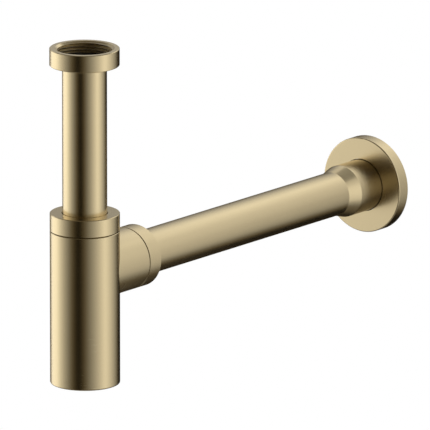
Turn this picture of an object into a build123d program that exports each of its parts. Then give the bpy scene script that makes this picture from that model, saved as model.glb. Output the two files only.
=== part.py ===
"""Round bottle trap for a wash basin, turned and tube-formed in brass.

Millimetres, +Z up, +X towards the wall. The origin is the centre of the inlet nut's mouth,
where the basin waste screws in. Everything round is drawn as an outline of (radius, height)
points and spun about its own axis.
"""

import os
from dataclasses import dataclass

from build123d import *

os.makedirs("parts", exist_ok=True)

# Clearances and small edges
slide_gap = 0.3  # between a tube and the hole that it slides through
seal_gap = 0.1  # between a rubber ring and the tube that it grips
seat_gap = 0.05  # between a rubber ring and the groove or cone that it lies in
thread_depth = 1.1  # root cylinders of an inner and an outer thread lie this far apart
seam_gap = 0.5  # a tightened nut stops this far short of its shoulder
seam_chamfer = 0.3
edge_chamfer = 0.4
lead_chamfer = 0.8

# Tubes
pipe_od = 32.0
pipe_wall = 1.2
pipe_r = pipe_od / 2
pipe_bore_r = pipe_r - pipe_wall

# Inlet nut with its thread for the basin waste, and the pipe's lip and washer inside it
nut_od = 50.0
nut_height = 12.5
nut_floor = 1.3
inlet_thread_d = 42.0
inlet_thread_depth = 1.48
mouth_chamfer = 0.4
inlet_relief = 0.4  # the bore widens by this below the thread
lip_thickness = 1.0
lip_gap = 0.3  # between the lip or the washer and the thread's crest
washer_thickness = 1.3
nut_r = nut_od / 2
inlet_thread_r = inlet_thread_d / 2
lip_r = inlet_thread_r - inlet_thread_depth - lip_gap
lip_z = nut_floor - nut_height
washer_z = lip_z + lip_thickness
washer_top_z = washer_z + washer_thickness

# Bottle
bottle_od = 50.0
bottle_wall = 2.5
bottle_height = 125.0  # from the cap's top face to the base
base_thickness = 10.0
base_round = 1.2
inlet_drop = 120.5  # from the inlet's mouth to the cap's top face
dip_gap = 11.0  # from the bottle's floor to the end of the inlet pipe
outlet_drop = 43.0  # from the cap's top face to the outlet's axis
branch_od = 45.0
branch_reach = 46.0  # from the bottle's axis to the seam of the outlet nut
bottle_r = bottle_od / 2
cavity_r = bottle_r - bottle_wall
branch_r = branch_od / 2
base_z = -inlet_drop - bottle_height
floor_z = base_z + base_thickness
dip_z = floor_z + dip_gap
outlet_z = -inlet_drop - outlet_drop

# Compression joints: the bottle's cap and the outlet nut
cap_length = 13.1
outlet_nut_length = 13.0
nut_skirt = 1.7  # wall of a nut's threaded skirt
nut_plate = 3.0
neck_length = 8.0
neck_wall = 1.6
throat_gap = 1.2  # between a tube and the waist below its seal
throat_length = 2.5
slip_ring_thickness = 1.2
seal_rim = 3.0  # height of the straight stretch at the seal's outer end
seal_toe = 0.8  # the seal stops this far above its seam
seam_z = -inlet_drop - cap_length

# Outlet pipe, from its stop inside the branch to the spigot behind the wall flange
stop_depth = 20.0  # from the outlet seam to the shoulder that stops the pipe
guide_length = 6.0  # close-fitting part of the socket, at the shoulder
pipe_insertion = 15.0  # from the outlet seam to the pipe's end
wall_reach = 328.0  # from the bottle's axis to the wall
cone_length = 11.0
swage_round = 1.5  # outside, where the cone meets the pipe and the tail
tail_od = 38.0
tail_length = 23.7  # straight stretch that shows in front of the flange
spigot_length = 12.0  # behind the wall
spigot_gap = 0.5  # from the wall to the spigot's shoulder
spigot_step = 0.3
tail_r = tail_od / 2
spigot_r = tail_r - spigot_step
pipe_end_x = branch_reach - pipe_insertion
stop_x = branch_reach - stop_depth

# Wall flange
flange_od = 70.0
flange_depth = 9.7
flange_round = 0.8
flange_gap = 0.42  # between the flange and the tail that it slides on
flange_face = 2.5
flange_rim = 2.4
collar_wall = 4.5
collar_depth = 7.0
flange_ring_d = 2.4  # section of the rubber ring in the collar
flange_r = flange_od / 2
flange_x = wall_reach - flange_depth
flange_ring_x = flange_x + (flange_face + collar_depth) / 2
flange_ring_r = tail_r + seal_gap + flange_ring_d / 2
flange_groove_r = flange_ring_r + flange_ring_d / 2 + seat_gap
cone_x = flange_x - tail_length - cone_length

# Cleaning plug in the base
plug_thread_d = 35.0
plug_head_d = 41.0
plug_head = 2.6
plug_recess = 0.3  # the head lies this far inside the base
plug_washer_width = 1.8
plug_washer_thickness = 1.8
plug_slot_length = 28.0
plug_slot_width = 3.0
plug_slot_depth = 1.5
plug_thread_r = plug_thread_d / 2
plug_barrel_r = plug_thread_r - thread_depth
plug_head_r = plug_head_d / 2
plug_head_z = base_z + plug_recess
plug_washer_z = plug_head_z + plug_head
plug_washer_r = plug_thread_r + plug_washer_width
plug_thread_z = plug_washer_z + plug_washer_thickness

upright = Plane.XZ
along_outlet = Plane(origin=(0, 0, outlet_z), x_dir=(0, 1, 0), z_dir=(0, 0, -1))
cap_seat = Plane(origin=(0, 0, seam_z), x_dir=(1, 0, 0), z_dir=(0, -1, 0))
outlet_seat = Plane(origin=(branch_reach, 0, outlet_z), x_dir=(0, 1, 0), z_dir=(0, 0, -1))


def turn(plane, *outline, mode=Mode.ADD):
    """Spins an outline of (radius, height) points about the plane's own Y axis."""
    with BuildSketch(plane) as profile:
        with BuildLine():
            Polyline(*outline, close=True)
        make_face()
    revolve(profile.sketch, axis=Axis(plane.origin, plane.y_dir), mode=mode)


def rims(piece, radius):
    """The circular edges of that radius on a piece."""
    circles = piece.edges().filter_by(GeomType.CIRCLE)
    return circles.filter_by(lambda edge: abs(edge.radius - radius) < 0.001)


@dataclass
class Gland:
    """A compression joint round a tube. Heights run along its axis from the seam, outwards."""

    seat: Plane
    outer_r: float
    length: float

    def __post_init__(self):
        self.axis = Axis(self.seat.origin, self.seat.y_dir)
        self.thread_r = self.outer_r - nut_skirt
        self.neck_r = self.thread_r - thread_depth
        self.seat_r = self.neck_r - neck_wall
        self.throat_r = pipe_r + throat_gap
        self.plate_h = self.length - nut_plate
        self.seal_h = self.plate_h - slip_ring_thickness
        self.cone_h = self.seal_h - seal_rim


cap_gland = Gland(cap_seat, bottle_r, cap_length)
outlet_gland = Gland(outlet_seat, branch_r, outlet_nut_length)


def gland_nut(gland):
    """A flush round nut: an end plate with the tube's hole, and a skirt with the thread's root bore."""
    hole_r = pipe_r + slide_gap
    with BuildPart() as nut:
        turn(
            gland.seat,
            (hole_r, gland.plate_h),
            (gland.thread_r, gland.plate_h),
            (gland.thread_r, seam_gap),
            (gland.outer_r, seam_gap),
            (gland.outer_r, gland.length),
            (hole_r, gland.length),
        )
        chamfer(rims(nut, gland.outer_r).sort_by(gland.axis)[-1], edge_chamfer)
        chamfer(rims(nut, gland.outer_r).sort_by(gland.axis)[0], seam_chamfer)
        chamfer(rims(nut, gland.thread_r).sort_by(gland.axis)[0], lead_chamfer)
        chamfer(rims(nut, hole_r).sort_by(gland.axis)[-1], seam_chamfer)
    return nut.part


def gland_slip_ring(gland):
    """The flat ring that lets the nut turn without twisting the seal."""
    inner_r = pipe_r + slide_gap
    outer_r = gland.thread_r - thread_depth
    with BuildPart() as ring:
        turn(
            gland.seat,
            (inner_r, gland.seal_h),
            (outer_r, gland.seal_h),
            (outer_r, gland.plate_h),
            (inner_r, gland.plate_h),
        )
    return ring.part


def gland_seal(gland):
    """The tapered rubber ring that the nut squeezes on to the tube."""
    inner_r = pipe_r + seal_gap
    outer_r = gland.seat_r - seat_gap
    toe_r = gland.throat_r - seat_gap
    with BuildPart() as seal:
        turn(
            gland.seat,
            (inner_r, seal_toe),
            (toe_r, seal_toe),
            (outer_r, gland.cone_h),
            (outer_r, gland.seal_h),
            (inner_r, gland.seal_h),
        )
    return seal.part


def gland_neck(gland):
    """The threaded neck's root cylinder, added outside the shoulder at the seam."""
    turn(gland.seat, (0, 0), (gland.neck_r, 0), (gland.neck_r, neck_length), (0, neck_length))


def gland_seat(gland, throat_h):
    """Cuts the seal's conical seat in the neck and the waist below it, down to throat_h."""
    turn(
        gland.seat,
        (0, throat_h),
        (gland.throat_r, throat_h),
        (gland.throat_r, seal_toe - seat_gap),
        (gland.seat_r, gland.cone_h),
        (gland.seat_r, neck_length),
        (0, neck_length),
        mode=Mode.SUBTRACT,
    )


# Inlet nut: the round ring at the top, with a threaded bore and a floor that carries the pipe's lip
with BuildPart() as inlet_nut:
    nut_hole_r = pipe_r + slide_gap
    relief_r = inlet_thread_r + inlet_relief
    turn(
        upright,
        (nut_hole_r, -nut_height),
        (nut_r, -nut_height),
        (nut_r, 0),
        (inlet_thread_r, 0),
        (inlet_thread_r, washer_top_z),
        (relief_r, washer_top_z),
        (relief_r, lip_z),
        (nut_hole_r, lip_z),
    )
    chamfer(rims(inlet_nut, nut_r), edge_chamfer)
    chamfer(rims(inlet_nut, inlet_thread_r).sort_by(Axis.Z)[-1], mouth_chamfer)
inlet_nut.part.label = "inlet_nut"
export_step(inlet_nut.part, "parts/inlet_nut.step")

# Inlet pipe: hangs by its lip in the nut, runs down through the cap and dips into the bottle's water
with BuildPart() as inlet_pipe:
    turn(
        upright,
        (pipe_bore_r, dip_z),
        (pipe_r, dip_z),
        (pipe_r, lip_z),
        (lip_r, lip_z),
        (lip_r, washer_z),
        (pipe_bore_r, washer_z),
    )
    chamfer(rims(inlet_pipe, pipe_r).sort_by(Axis.Z)[0], pipe_wall / 3)
inlet_pipe.part.label = "inlet_pipe"
export_step(inlet_pipe.part, "parts/inlet_pipe.step")

# Flat washer on the lip, which the basin waste presses on
with BuildPart() as inlet_washer:
    turn(
        upright,
        (pipe_bore_r, washer_z),
        (lip_r, washer_z),
        (lip_r, washer_top_z),
        (pipe_bore_r, washer_top_z),
    )
inlet_washer.part.label = "inlet_washer"
export_step(inlet_washer.part, "parts/inlet_washer.step")

# Bottle body: the cup with its threaded neck, and the branch brazed to its side
with BuildPart() as bottle_body:
    turn(upright, (0, base_z), (bottle_r, base_z), (bottle_r, seam_z), (0, seam_z))
    fillet(rims(bottle_body, bottle_r).sort_by(Axis.Z)[0], base_round)
    chamfer(rims(bottle_body, bottle_r).sort_by(Axis.Z)[-1], seam_chamfer)
    gland_neck(cap_gland)
    turn(along_outlet, (0, 0), (branch_r, 0), (branch_r, branch_reach), (0, branch_reach))
    chamfer(rims(bottle_body, branch_r).sort_by(Axis.X)[-1], seam_chamfer)
    gland_neck(outlet_gland)
    # The bottle's inside, and the waist and seat in its neck
    ceiling_z = seam_z - throat_length
    turn(
        upright,
        (0, floor_z),
        (cavity_r, floor_z),
        (cavity_r, ceiling_z),
        (0, ceiling_z),
        mode=Mode.SUBTRACT,
    )
    gland_seat(cap_gland, -throat_length)
    # The branch's way out: a narrow mouth whose shoulder stops the pipe, then the socket that guides it
    socket_r = pipe_r + slide_gap
    guide_x = stop_x + guide_length
    turn(
        along_outlet,
        (0, 0),
        (pipe_bore_r, 0),
        (pipe_bore_r, stop_x),
        (socket_r, stop_x),
        (socket_r, guide_x),
        (0, guide_x),
        mode=Mode.SUBTRACT,
    )
    gland_seat(outlet_gland, guide_x - branch_reach)
    # The cleaning hole: a counterbore for the plug's head, a recess for its washer, and the thread
    turn(
        upright,
        (0, base_z),
        (plug_head_r + slide_gap, base_z),
        (plug_head_r + slide_gap, plug_washer_z),
        (plug_washer_r + seat_gap, plug_washer_z),
        (plug_washer_r + seat_gap, plug_thread_z),
        (plug_thread_r, plug_thread_z),
        (plug_thread_r, floor_z),
        (0, floor_z),
        mode=Mode.SUBTRACT,
    )
    chamfer(rims(bottle_body, plug_head_r + slide_gap).sort_by(Axis.Z)[0], seam_chamfer)
bottle_body.part.label = "bottle_body"
export_step(bottle_body.part, "parts/bottle_body.step")

# Bottle cap, its slip ring and its seal, round the inlet pipe
bottle_cap = gland_nut(cap_gland)
bottle_cap.label = "bottle_cap"
export_step(bottle_cap, "parts/bottle_cap.step")
cap_slip_ring = gland_slip_ring(cap_gland)
cap_slip_ring.label = "cap_slip_ring"
export_step(cap_slip_ring, "parts/cap_slip_ring.step")
cap_seal = gland_seal(cap_gland)
cap_seal.label = "cap_seal"
export_step(cap_seal, "parts/cap_seal.step")

# Outlet nut, its slip ring and its seal, round the outlet pipe
outlet_nut = gland_nut(outlet_gland)
outlet_nut.label = "outlet_nut"
export_step(outlet_nut, "parts/outlet_nut.step")
outlet_slip_ring = gland_slip_ring(outlet_gland)
outlet_slip_ring.label = "outlet_slip_ring"
export_step(outlet_slip_ring, "parts/outlet_slip_ring.step")
outlet_seal = gland_seal(outlet_gland)
outlet_seal.label = "outlet_seal"
export_step(outlet_seal, "parts/outlet_seal.step")

# Outlet pipe: one tube, swaged through a cone to the wide tail, with a spigot for the wall's socket
with BuildPart() as outlet_pipe:
    tail_x = cone_x + cone_length
    spigot_x = wall_reach + spigot_gap
    spigot_end_x = wall_reach + spigot_length
    turn(
        along_outlet,
        (pipe_bore_r, pipe_end_x),
        (pipe_r, pipe_end_x),
        (pipe_r, cone_x),
        (tail_r, tail_x),
        (tail_r, spigot_x),
        (spigot_r, spigot_x),
        (spigot_r, spigot_end_x),
        (spigot_r - pipe_wall, spigot_end_x),
        (spigot_r - pipe_wall, spigot_x),
        (tail_r - pipe_wall, spigot_x),
        (tail_r - pipe_wall, tail_x),
        (pipe_bore_r, cone_x),
    )
    swage = rims(outlet_pipe, pipe_r).sort_by(Axis.X)[-1:] + rims(outlet_pipe, tail_r).sort_by(Axis.X)[:1]
    fillet(swage, swage_round)
    chamfer(rims(outlet_pipe, spigot_r).sort_by(Axis.X)[-1], pipe_wall / 3)
    chamfer(rims(outlet_pipe, pipe_r).sort_by(Axis.X)[0], pipe_wall / 3)
outlet_pipe.part.label = "outlet_pipe"
export_step(outlet_pipe.part, "parts/outlet_pipe.step")

# Wall flange: a hollow-backed plate with a rim that lies on the wall and a collar that rides on the tail
with BuildPart() as wall_flange:
    bore_r = tail_r + flange_gap
    collar_r = bore_r + collar_wall
    rim_r = flange_r - flange_rim
    turn(
        along_outlet,
        (bore_r, flange_x),
        (flange_r, flange_x),
        (flange_r, wall_reach),
        (rim_r, wall_reach),
        (rim_r, flange_x + flange_face),
        (collar_r, flange_x + flange_face),
        (collar_r, flange_x + collar_depth),
        (bore_r, flange_x + collar_depth),
    )
    fillet(rims(wall_flange, flange_r).sort_by(Axis.X)[0], flange_round)
    # Groove for the rubber ring
    turn(
        along_outlet,
        (bore_r, flange_ring_x - flange_ring_d / 2 - seat_gap),
        (flange_groove_r, flange_ring_x - flange_ring_d / 2 - seat_gap),
        (flange_groove_r, flange_ring_x + flange_ring_d / 2 + seat_gap),
        (bore_r, flange_ring_x + flange_ring_d / 2 + seat_gap),
        mode=Mode.SUBTRACT,
    )
wall_flange.part.label = "wall_flange"
export_step(wall_flange.part, "parts/wall_flange.step")

# Rubber ring that holds the flange on the tail
with BuildPart() as flange_o_ring:
    with Locations(Location((flange_ring_x, 0, outlet_z), (0, 90, 0))):
        Torus(flange_ring_r, flange_ring_d / 2)
flange_o_ring.part.label = "flange_o_ring"
export_step(flange_o_ring.part, "parts/flange_o_ring.step")

# Cleaning plug, flush in the base, with a slot for a coin
with BuildPart() as base_plug:
    turn(
        upright,
        (0, plug_head_z),
        (plug_head_r, plug_head_z),
        (plug_head_r, plug_washer_z),
        (plug_barrel_r, plug_washer_z),
        (plug_barrel_r, floor_z),
        (0, floor_z),
    )
    chamfer(rims(base_plug, plug_head_r).sort_by(Axis.Z)[0], seam_chamfer)
    chamfer(rims(base_plug, plug_barrel_r).sort_by(Axis.Z)[-1], lead_chamfer)
    with BuildSketch(Plane.XY.offset(plug_head_z)):
        SlotOverall(plug_slot_length, plug_slot_width)
    extrude(amount=plug_slot_depth, mode=Mode.SUBTRACT)
base_plug.part.label = "base_plug"
export_step(base_plug.part, "parts/base_plug.step")

# Flat rubber washer that seals the plug's head
with BuildPart() as base_washer:
    turn(
        upright,
        (plug_thread_r, plug_washer_z),
        (plug_washer_r, plug_washer_z),
        (plug_washer_r, plug_thread_z),
        (plug_thread_r, plug_thread_z),
    )
base_washer.part.label = "base_washer"
export_step(base_washer.part, "parts/base_washer.step")
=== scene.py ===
import math

import bmesh
import bpy
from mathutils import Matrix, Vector


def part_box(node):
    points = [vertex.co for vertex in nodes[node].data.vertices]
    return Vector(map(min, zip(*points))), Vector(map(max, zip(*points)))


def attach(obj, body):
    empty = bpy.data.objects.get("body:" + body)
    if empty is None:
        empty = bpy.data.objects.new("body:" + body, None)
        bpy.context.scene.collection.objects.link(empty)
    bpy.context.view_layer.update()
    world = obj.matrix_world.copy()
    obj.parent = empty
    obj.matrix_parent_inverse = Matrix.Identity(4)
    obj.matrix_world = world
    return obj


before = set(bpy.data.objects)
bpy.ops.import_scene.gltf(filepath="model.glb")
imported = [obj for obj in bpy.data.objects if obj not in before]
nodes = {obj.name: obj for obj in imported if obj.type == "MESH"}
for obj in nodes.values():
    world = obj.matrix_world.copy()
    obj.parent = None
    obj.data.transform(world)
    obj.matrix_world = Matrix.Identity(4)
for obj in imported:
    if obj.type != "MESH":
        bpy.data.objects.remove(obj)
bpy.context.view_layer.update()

# Camera, in metres. Azimuth 0 looks along +Y.
VIEW_AZIMUTH = math.radians(-51.27)
VIEW_ELEVATION = math.radians(14.39)
VIEW_TARGET = Vector((0.05746, -0.07258, -0.12224))
VIEW_DISTANCE = 11.386
VIEW_LENS = 1340.8  # in millimetres

# Places read from the frame
OUTLET_Z = sum(corner[2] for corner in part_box("outlet_pipe")) / 2
BOTTLE_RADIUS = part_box("bottle_cap")[1][0]
CAP_SEAM_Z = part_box("bottle_cap")[0][2]
OUTLET_SEAM_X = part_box("outlet_nut")[0][0]
PLUG_TOP_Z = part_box("base_plug")[1][2]
WASHER_TOP_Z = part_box("inlet_washer")[1][2]

# Threads: pitch and height of the ridges, root radii of each pair, and where the ridges start and end
INLET_PITCH = 0.002309
INLET_RIDGE = 0.00148
INLET_ROOT = 0.021
INLET_LEAD = 0.93  # of a turn
INLET_ABOVE_WASHER = 0.0004
INLET_BELOW_MOUTH = 0.00065
GLAND_PITCH = 0.002
GLAND_RIDGE = 0.001
GLAND_PAST_SEAM = 0.0012
GLAND_LENGTH = 0.0052
CAP_ROOTS = (0.0222, 0.0233)
OUTLET_ROOTS = (0.0197, 0.0208)
PLUG_ROOTS = (0.0164, 0.0175)
PLUG_BELOW_TOP = 0.0008
PLUG_LENGTH = 0.0036

# A ridge: its foot and crest as shares of the pitch, how deep it is sunk, its steps and its fading ends
FOOT_SHARE = 0.74
CREST_SHARE = 0.16
FOOT_SUNK = 0.00003
STEPS_PER_TURN = 72
FADE_START = 0.05
FADE_PER_TURN = 3

# The chamfer in the inlet's mouth: its outer rim, its depth, and the height of the flank under it
CHAMFER_RADIUS = 0.0214
CHAMFER_TOP = -0.00001
CHAMFER_DEPTH = 0.0014
CHAMFER_FLANK = 0.0008
CHAMFER_STEPS = 180

# Brass: the tones of its finish and of the bare metal in a cut thread, its gloss and its tool marks
BRASS_TONES = ((0.66, 0.542, 0.323, 1), (0.7, 0.576, 0.346, 1))
CUT_TONES = ((0.8, 0.72, 0.53, 1), (0.86, 0.78, 0.6, 1))
BRASS_ROUGHNESS = (0.22, 0.28)
CUT_ROUGHNESS = (0.36, 0.44)
FINE_LINES = 5200.0  # per metre
BROAD_LINES = 900.0
BRANCH_MARGIN = 0.0001  # the branch's marks start this far outside the bottle's round
NOISE_ENDS = (0.3, 0.7)  # most of a noise pattern lies between these
GLOSS_SPREAD = 0.06  # of rubber and nylon, either way

# Studio: a round light tent with a dark gap by the camera. Directions are degrees to the camera's
# right as the object sees it, and lengths are metres.
STUDIO_CENTRE = Vector((0.12, 0.0, -0.15))
FLOOR_Z = -0.75
FLOOR_RADIUS = 0.6
FLOOR_STEP = 5
FLOOR_GLOW = 0.3
FLOOR_PAPER = (0.85, 0.85, 0.84, 1)
TENT_STEP = 3
GAP = -21.0
LEFT_PEAK = -100.0
LEFT_END = -138.0
RIGHT_PEAK = 64.0
RIGHT_END = 137.0
TOP_MIDDLE = 145.0
TOP_SPREAD = 100.0
LEFT_LEVEL = 1.57
RIGHT_LEVEL = 1.28
BACK_LEVEL = 0.25
TOP_LEVEL = 1.52
LEFT_CURVE = 1.9
RIGHT_CURVE = 1.5
BACK_CURVE = 2
WHITE = (1, 1, 1, 1)
CLOTH_BROWN = (1, 0.72, 0.25, 1)
CLOTH_END = 0.25  # the tent is plain white where it is brighter than this
SOFTBOX_SIZE = 1.0
SOFTBOX_HEIGHT = 1.0  # above the studio's centre
SOFTBOX_WATTS = 1.5
ROOM_LIGHT = 0.6

# Rings of the tent from its foot to its crown: radius, height, shares of wall and top light, even light
TENT_RINGS = (
    (0.02, -0.74, 0.0, 0.0, 0.3),
    (0.35, -0.74, 0.0, 0.0, 0.25),
    (0.60, -0.74, 0.3, 0.0, 0.0),
    (1.20, -0.74, 0.85, 0.0, 0.0),
    (1.20, -0.15, 1.0, 0.0, 0.0),
    (1.20, 0.30, 0.8, 0.42, 0.0),
    (0.95, 0.75, 0.1, 1.0, 0.0),
    (0.85, 0.82, 0.05, 0.2, 0.1),
    (0.02, 1.10, 0.0, 0.0, 0.15),
)


def node_tree(material):
    """A material's node tree and its main shader."""
    material.use_nodes = True
    tree = material.node_tree
    return tree, tree.nodes["Principled BSDF"]


def add(tree, kind, inputs=(), **settings):
    """A node with settings, and its inputs given as (socket, value or output)."""
    node = tree.nodes.new(kind)
    for name, value in settings.items():
        setattr(node, name, value)
    for socket, value in inputs:
        if isinstance(value, bpy.types.NodeSocket):
            tree.links.new(value, node.inputs[socket])
        else:
            node.inputs[socket].default_value = value
    return node


def maths(tree, operation, *values):
    return add(tree, "ShaderNodeMath", enumerate(values), operation=operation).outputs[0]


def mix(tree, factor, first, second):
    inputs = ((0, factor), (2, first), (3, second))
    return add(tree, "ShaderNodeMix", inputs, data_type="FLOAT").outputs[0]


def blend_of(tree, first, second, share):
    """Adds up two patterns, with that share of the first."""
    first = maths(tree, "MULTIPLY", first, share)
    return maths(tree, "MULTIPLY_ADD", second, 1 - share, first)


def spread(tree, pattern, low, high):
    """Maps a noise pattern to a range of values."""
    inputs = enumerate((pattern, *NOISE_ENDS, low, high))
    return add(tree, "ShaderNodeMapRange", inputs).outputs[0]


def two_tones(tree, pattern, tones, ends=NOISE_ENDS):
    """Maps a pattern to a colour between two tones."""
    ramp = add(tree, "ShaderNodeValToRGB", ((0, pattern),))
    for element, position, colour in zip(ramp.color_ramp.elements, ends, tones):
        element.position = position
        element.color = colour
    return ramp.outputs[0]


def noise(tree, place, scale, detail):
    inputs = (("Vector", place), ("Scale", scale), ("Detail", detail), ("Roughness", 0.55))
    return add(tree, "ShaderNodeTexNoise", inputs).outputs["Fac"]


def relief(tree, height, strength, distance):
    inputs = (("Strength", strength), ("Distance", distance), ("Height", height))
    return add(tree, "ShaderNodeBump", inputs).outputs[0]


def dress(tree, shader, tone, rough, bump):
    """Gives a shader its colour, gloss and relief."""
    for output, socket in ((tone, "Base Color"), (rough, "Roughness"), (bump, "Normal")):
        tree.links.new(output, shader.inputs[socket])


def spun_coordinates(tree, around, across, along):
    """Radius, height and direction about an axis, so that tool marks run round the piece."""
    square = maths(tree, "MULTIPLY_ADD", across, across, maths(tree, "MULTIPLY", around, around))
    radius = maths(tree, "SQRT", square)
    return radius, along, maths(tree, "DIVIDE", around, radius), maths(tree, "DIVIDE", across, radius)


def tool_marks(tree, spun, lines_per_metre, stroke):
    """Lines round the axis, each fading in and out along its stroke."""
    radius, along, cosine, sine = spun
    place = (
        (0, maths(tree, "MULTIPLY", radius, lines_per_metre)),
        (1, maths(tree, "MULTIPLY", along, lines_per_metre)),
        (2, maths(tree, "MULTIPLY", cosine, stroke)),
    )
    inputs = (
        ("Vector", add(tree, "ShaderNodeCombineXYZ", place).outputs[0]),
        ("W", maths(tree, "MULTIPLY", sine, stroke)),
        ("Scale", 1.0),
        ("Detail", 2.0),
        ("Roughness", 0.6),
    )
    return add(tree, "ShaderNodeTexNoise", inputs, noise_dimensions="4D").outputs["Fac"]


def brushed_brass(name, about, tones=BRASS_TONES, roughness=BRASS_ROUGHNESS):
    """Satin brass with fine marks round the upright axis, the outlet's axis or both."""
    material = bpy.data.materials.new(name)
    tree, shader = node_tree(material)
    place = add(tree, "ShaderNodeTexCoord").outputs["Object"]
    x, y, z = add(tree, "ShaderNodeSeparateXYZ", ((0, place),)).outputs
    upright = spun_coordinates(tree, x, y, z)
    outlet = spun_coordinates(tree, y, maths(tree, "SUBTRACT", z, OUTLET_Z), x)
    if about == "both":
        on_branch = maths(tree, "GREATER_THAN", upright[0], BOTTLE_RADIUS + BRANCH_MARGIN)
        spun = [mix(tree, on_branch, *pair) for pair in zip(upright, outlet)]
    else:
        spun = {"upright": upright, "outlet": outlet}[about]
    fine = tool_marks(tree, spun, FINE_LINES, stroke=2.2)
    broad = tool_marks(tree, spun, BROAD_LINES, stroke=1.1)
    grain = blend_of(tree, fine, broad, share=0.75)
    cloud = noise(tree, place, scale=34.0, detail=3.0)
    tone = two_tones(tree, blend_of(tree, grain, cloud, share=0.7), tones)
    rough = spread(tree, blend_of(tree, grain, cloud, share=0.6), *roughness)
    dress(tree, shader, tone, rough, relief(tree, grain, strength=0.05, distance=0.00002))
    shader.inputs["Metallic"].default_value = 1.0
    return material


def moulded(name, dark, pale, roughness, grain):
    """Rubber or plastic: a fine moulded grain with slow changes of tone and gloss."""
    material = bpy.data.materials.new(name)
    tree, shader = node_tree(material)
    place = add(tree, "ShaderNodeTexCoord").outputs["Object"]
    pits = noise(tree, place, scale=grain, detail=2.0)
    tone = two_tones(tree, noise(tree, place, scale=120.0, detail=4.0), ((*dark, 1), (*pale, 1)))
    rough = spread(tree, pits, roughness - GLOSS_SPREAD, roughness + GLOSS_SPREAD)
    dress(tree, shader, tone, rough, relief(tree, pits, strength=0.25, distance=0.00005))
    return material


brass_upright = brushed_brass("brass_upright", "upright")
brass_outlet = brushed_brass("brass_outlet", "outlet")
brass_bottle = brushed_brass("brass_bottle", "both")
cut_upright = brushed_brass("cut_upright", "upright", CUT_TONES, CUT_ROUGHNESS)
cut_outlet = brushed_brass("cut_outlet", "outlet", CUT_TONES, CUT_ROUGHNESS)
black_rubber = moulded(
    "black_rubber",
    dark=(0.016, 0.016, 0.017),
    pale=(0.032, 0.032, 0.034),
    roughness=0.6,
    grain=2400.0,
)
nylon = moulded(
    "nylon",
    dark=(0.74, 0.72, 0.66),
    pale=(0.82, 0.8, 0.75),
    roughness=0.45,
    grain=1800.0,
)

finishes = {
    "inlet_nut": brass_upright,
    "inlet_pipe": brass_upright,
    "bottle_cap": brass_upright,
    "base_plug": brass_upright,
    "bottle_body": brass_bottle,
    "outlet_nut": brass_outlet,
    "outlet_pipe": brass_outlet,
    "wall_flange": brass_outlet,
    "inlet_washer": black_rubber,
    "cap_slip_ring": nylon,
    "outlet_slip_ring": nylon,
    "cap_seal": black_rubber,
    "outlet_seal": black_rubber,
    "flange_o_ring": black_rubber,
    "base_washer": black_rubber,
}
for name, material in finishes.items():
    slots = nodes[name].data.materials
    slots.clear()
    slots.append(material)


def thread_ring(angle, height, root, ridge, width):
    """One section of a thread's ridge: two feet sunk in the wall and a narrow crest between them."""
    foot = FOOT_SHARE * width / 2
    crest = CREST_SHARE * width / 2
    sunk = math.copysign(FOOT_SUNK, ridge)
    ring = []
    for shift, rise in ((-foot, -sunk), (-crest, ridge), (crest, ridge), (foot, -sunk)):
        radius = root + rise
        ring.append((radius * math.cos(angle), radius * math.sin(angle), height + shift))
    return ring


def brass_piece(name, body, material, mesh):
    """A piece of the object from a finished mesh. It moves with that body."""
    data = bpy.data.meshes.new(name)
    mesh.to_mesh(data)
    mesh.free()
    data.materials.append(material)
    piece = bpy.data.objects.new(name, data)
    bpy.context.collection.objects.link(piece)
    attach(piece, body)


def cones(name, body, material, profile):
    """Cones round the upright axis that face inwards, one for each run of a (radius, height) profile."""
    mesh = bmesh.new()
    for run in zip(profile, profile[1:]):
        rows = []
        for step in range(CHAMFER_STEPS):
            angle = 2 * math.pi * step / CHAMFER_STEPS
            rows.append([mesh.verts.new((r * math.cos(angle), r * math.sin(angle), z)) for r, z in run])
        for last, row in zip(rows[-1:] + rows, rows):
            mesh.faces.new((row[0], row[1], last[1], last[0])).smooth = True
    brass_piece(name, body, material, mesh)


def thread(name, body, material, root, ridge, pitch, start, length, lead=0.0, axis="Z"):
    """A helical ridge on a cylinder of radius root. A negative ridge stands inwards, as in a nut.

    It starts at the point start on the axis, runs along +Z, +X or -Z, and fades out at both ends.
    lead turns it by that share of a turn.
    """
    steps = round(length / pitch * STEPS_PER_TURN)
    start = Vector(start)
    mesh = bmesh.new()
    last = None
    for step in range(steps + 1):
        turns = step / STEPS_PER_TURN
        fade = min(1.0, FADE_START + FADE_PER_TURN * min(step, steps - step) / STEPS_PER_TURN)
        angle = 2 * math.pi * (turns + lead)
        ring = []
        for a, b, c in thread_ring(angle, pitch * turns, root, ridge * fade, pitch * fade):
            local = {"Z": (a, b, c), "X": (c, a, b), "-Z": (b, a, -c)}[axis]
            ring.append(mesh.verts.new(start + Vector(local)))
        if last:
            for i in range(len(ring) - 1):
                inwards = (last[i], last[i + 1], ring[i + 1], ring[i])
                mesh.faces.new(inwards if ridge < 0 else inwards[::-1])
        last = ring
    brass_piece(name, body, material, mesh)


def thread_pair(outer, inner, roots, start, length, axis):
    """The ridges of two threads that mesh as the nut or plug turns, half a pitch apart."""
    run = (GLAND_PITCH, start, length)
    thread(*outer, roots[0], GLAND_RIDGE, *run, axis=axis)
    thread(*inner, roots[1], -GLAND_RIDGE, *run, lead=0.5, axis=axis)


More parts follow.
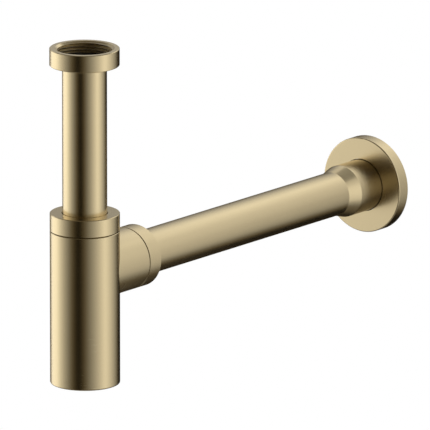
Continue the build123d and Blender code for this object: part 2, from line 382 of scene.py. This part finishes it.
# The chamfer that the inlet's thread starts from, and the flank under it
cones(
    "inlet_chamfer",
    "inlet_nut",
    brass_upright,
    (
        (CHAMFER_RADIUS, CHAMFER_TOP),
        (INLET_ROOT - INLET_RIDGE, -CHAMFER_DEPTH),
        (INLET_ROOT + FOOT_SUNK, -CHAMFER_DEPTH - CHAMFER_FLANK),
    ),
)
thread(
    "inlet_thread",
    "inlet_nut",
    cut_upright,
    root=INLET_ROOT,
    ridge=-INLET_RIDGE,
    pitch=INLET_PITCH,
    start=(0, 0, WASHER_TOP_Z + INLET_ABOVE_WASHER),
    length=-WASHER_TOP_Z - INLET_ABOVE_WASHER - INLET_BELOW_MOUTH,
    lead=INLET_LEAD,
)
thread_pair(
    ("neck_thread", "bottle", cut_upright),
    ("cap_thread", "cap", cut_upright),
    CAP_ROOTS,
    start=(0, 0, CAP_SEAM_Z + GLAND_PAST_SEAM),
    length=GLAND_LENGTH,
    axis="Z",
)
thread_pair(
    ("branch_thread", "bottle", cut_outlet),
    ("outlet_nut_thread", "outlet_nut", cut_outlet),
    OUTLET_ROOTS,
    start=(OUTLET_SEAM_X + GLAND_PAST_SEAM, 0, OUTLET_Z),
    length=GLAND_LENGTH,
    axis="X",
)
thread_pair(
    ("plug_thread", "base_plug", cut_upright),
    ("base_thread", "bottle", cut_upright),
    PLUG_ROOTS,
    start=(0, 0, PLUG_TOP_Z - PLUG_BELOW_TOP),
    length=PLUG_LENGTH,
    axis="-Z",
)


def studio_point(right, distance, z):
    """A point in that direction from the studio's centre."""
    angle = VIEW_AZIMUTH - math.pi / 2 + math.radians(right)
    return STUDIO_CENTRE.x + math.cos(angle) * distance, STUDIO_CENTRE.y + math.sin(angle) * distance, z


def stage_piece(name, material, corners, faces):
    """A mesh that belongs to the studio, not to the object."""
    data = bpy.data.meshes.new(name)
    data.from_pydata(corners, [], faces)
    data.materials.append(material)
    piece = bpy.data.objects.new(name, data)
    bpy.context.collection.objects.link(piece)
    return piece


def wall_light(right):
    """Brightness of the tent's wall: a silk each side of the gap, and a dark back."""
    if LEFT_END < right < GAP:
        return LEFT_LEVEL * min(1.0, (GAP - right) / (GAP - LEFT_PEAK)) ** LEFT_CURVE
    if GAP <= right < RIGHT_PEAK:
        return RIGHT_LEVEL * ((right - GAP) / (RIGHT_PEAK - GAP)) ** RIGHT_CURVE
    if RIGHT_PEAK <= right < RIGHT_END:
        return RIGHT_LEVEL * (RIGHT_END - right) / (RIGHT_END - RIGHT_PEAK)
    return BACK_LEVEL * (((right - RIGHT_END) % 360) / (LEFT_END + 360 - RIGHT_END)) ** BACK_CURVE


def top_light(right):
    """Brightness of the top silk, which fades out round the tent."""
    away = abs((right - TOP_MIDDLE + 180) % 360 - 180)
    return TOP_LEVEL * max(0.0, 1 - away / TOP_SPREAD)


def light_tent():
    """The white silks and brown cloths that the metal mirrors. They are out of the camera's sight."""
    silk = bpy.data.materials.new("silk")
    tree, shader = node_tree(silk)
    level = add(tree, "ShaderNodeAttribute", attribute_name="glow").outputs["Fac"]
    tone = two_tones(tree, level, (CLOTH_BROWN, WHITE), (0.0, CLOTH_END))
    tree.links.new(level, shader.inputs["Emission Strength"])
    tree.links.new(tone, shader.inputs["Emission Color"])
    shader.inputs["Base Color"].default_value = (0, 0, 0, 1)
    shader.inputs["Specular IOR Level"].default_value = 0.0
    corners = []
    glow = []
    for right in range(-180, 180, TENT_STEP):
        for radius, z, wall, top, even in TENT_RINGS:
            corners.append(studio_point(right, radius, z))
            glow.append(wall * wall_light(right) + top * top_light(right) + even)
    rings = len(TENT_RINGS)
    faces = []
    for i in range(0, len(corners), rings):
        following = (i + rings) % len(corners)
        faces += [(i + k, following + k, following + k + 1, i + k + 1) for k in range(rings - 1)]
    tent = stage_piece("light_tent", silk, corners, faces)
    tent.data.attributes.new("glow", "FLOAT", "POINT").data.foreach_set("value", glow)
    tent.visible_camera = False
    tent.visible_diffuse = False
    tent.visible_shadow = False


def floor():
    """A paper disc that turns as white as the room towards its rim. From below it isn't seen."""
    paper = bpy.data.materials.new("floor_paper")
    tree, shader = node_tree(paper)
    shader.inputs["Base Color"].default_value = FLOOR_PAPER
    shader.inputs["Roughness"].default_value = 0.9
    shader.inputs["Emission Color"].default_value = WHITE
    geometry = add(tree, "ShaderNodeNewGeometry").outputs
    middle = (STUDIO_CENTRE.x, STUDIO_CENTRE.y, FLOOR_Z)
    ends = ((0, geometry["Position"]), (1, middle))
    distance = add(tree, "ShaderNodeVectorMath", ends, operation="DISTANCE").outputs["Value"]
    fade = enumerate((distance, FLOOR_RADIUS / 2, FLOOR_RADIUS, FLOOR_GLOW, 1.0))
    white = add(tree, "ShaderNodeMapRange", fade).outputs[0]
    seen = add(tree, "ShaderNodeLightPath").outputs["Is Camera Ray"]
    tree.links.new(maths(tree, "MULTIPLY", seen, white), shader.inputs["Emission Strength"])
    clear = add(tree, "ShaderNodeBsdfTransparent").outputs[0]
    sides = ((0, geometry["Backfacing"]), (1, shader.outputs[0]), (2, clear))
    one_sided = add(tree, "ShaderNodeMixShader", sides).outputs[0]
    tree.links.new(one_sided, tree.nodes["Material Output"].inputs["Surface"])
    rim = [studio_point(right, FLOOR_RADIUS, FLOOR_Z) for right in range(0, 360, FLOOR_STEP)]
    stage_piece("floor", paper, rim, [range(len(rim))])


def top_softbox():
    """A soft lamp above, for the rubber, the nylon and the floor. The metal doesn't mirror it."""
    lamp = bpy.data.lights.new("top_softbox", "AREA")
    lamp.shape = "DISK"
    lamp.size = SOFTBOX_SIZE
    lamp.energy = SOFTBOX_WATTS
    softbox = bpy.data.objects.new("top_softbox", lamp)
    softbox.location = STUDIO_CENTRE + Vector((0, 0, SOFTBOX_HEIGHT))
    softbox.visible_camera = False
    softbox.visible_glossy = False
    bpy.context.collection.objects.link(softbox)


def white_surroundings():
    """White as the camera and the metal see it, and a plain soft light elsewhere."""
    world = bpy.data.worlds.new("studio")
    bpy.context.scene.world = world
    world.use_nodes = True
    tree = world.node_tree
    rays = add(tree, "ShaderNodeLightPath").outputs
    seen = maths(tree, "MAXIMUM", rays["Is Camera Ray"], rays["Is Glossy Ray"])
    seen = maths(tree, "MAXIMUM", seen, rays["Is Transmission Ray"])
    backdrop = tree.nodes["Background"]
    backdrop.inputs["Color"].default_value = WHITE
    tree.links.new(mix(tree, seen, ROOM_LIGHT, 1.0), backdrop.inputs["Strength"])


def camera():
    """A camera far off with a long lens, so that the view is nearly parallel."""
    lens = bpy.data.cameras.new("camera")
    lens.lens = VIEW_LENS
    lens.clip_start = 0.1
    lens.clip_end = 100.0
    level = math.cos(VIEW_ELEVATION)
    to_camera = Vector(
        (math.sin(VIEW_AZIMUTH) * level, -math.cos(VIEW_AZIMUTH) * level, math.sin(VIEW_ELEVATION))
    )
    viewer = bpy.data.objects.new("camera", lens)
    viewer.location = VIEW_TARGET + to_camera * VIEW_DISTANCE
    viewer.rotation_euler = to_camera.to_track_quat("Z", "Y").to_euler()
    bpy.context.collection.objects.link(viewer)
    bpy.context.scene.camera = viewer


light_tent()
floor()
top_softbox()
white_surroundings()
camera()
bpy.context.scene.view_settings.view_transform = "Standard"
